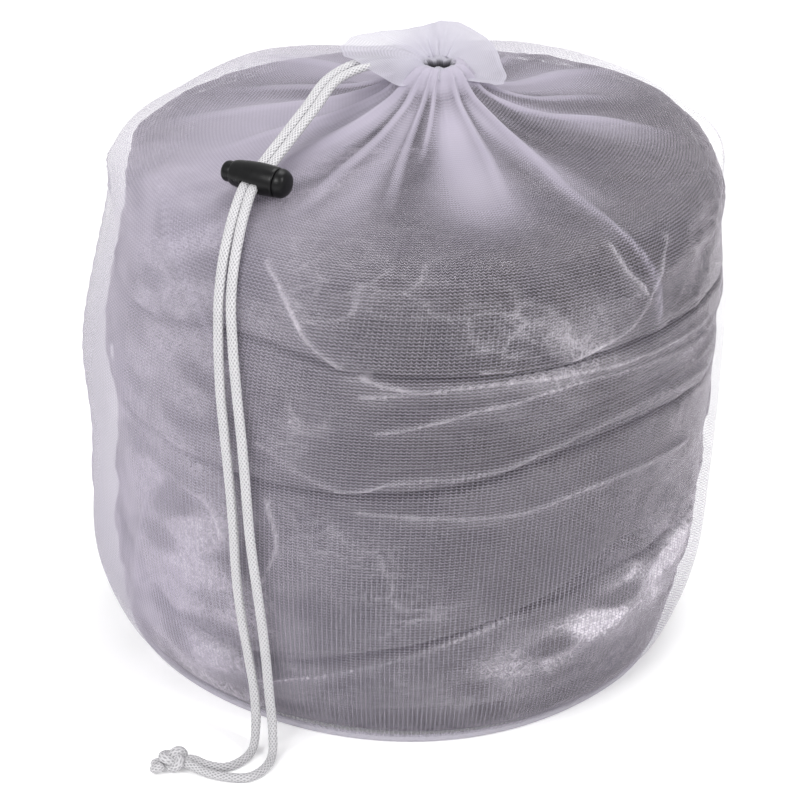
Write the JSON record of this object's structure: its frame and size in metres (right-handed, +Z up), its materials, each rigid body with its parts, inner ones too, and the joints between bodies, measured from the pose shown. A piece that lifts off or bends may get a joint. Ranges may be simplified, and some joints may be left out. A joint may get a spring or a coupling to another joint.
{
  "type": "mesh laundry bag",
  "caption": "Drum-shaped net laundry bag with a drawstring mouth and a sprung cord lock, drawn shut round a load of folded, film-wrapped laundry.",
  "frame": {"origin": "middle of the base on the floor", "axes": "+Z up through the mouth, -Y to the front, where the cord hangs, +X to the viewer's right"},
  "size_m": [0.3198, 0.3265, 0.3049],
  "materials": {
    "net": "satin",
    "tape": "matte",
    "cord": "matte",
    "garment": "matte",
    "film": "gloss",
    "lock_plastic": "satin",
    "spring_steel": "satin"
  },
  "bodies": {
    "bag": {"side_panel": "net", "side_seam": "tape", "base_panel": "net", "base_binding": "tape", "drawstring_channel": "net", "mouth_frill": "net", "drawcord_loop": "cord", "garment_bottom": "garment", "film_bottom": "film", "garment_middle": "garment", "film_middle": "film", "garment_upper": "garment", "film_upper": "film", "garment_top": "garment", "film_top": "film", "cord_strand_left": "cord", "cord_strand_right": "cord", "end_knot": "cord", "cord_end_left": "cord", "cord_end_right": "cord"},
    "lock": {"lock_barrel": "lock_plastic", "lock_cap": "lock_plastic", "lock_spring": "spring_steel"},
    "button": {"lock_plunger": "lock_plastic"}
  },
  "joints": [
    {"name": "lock_slide", "type": "slide", "parent": "bag", "child": "lock", "axis": [0.4761, 0.8032, 0.3581], "range_m": [0, 0.045]},
    {"name": "button_press", "type": "slide", "parent": "lock", "child": "button", "axis": [0.86, -0.5103, 0.0012], "range_m": [0, 0.004], "stiffness_N_per_m": 1500, "deforming": ["lock_spring"]}
  ]
}
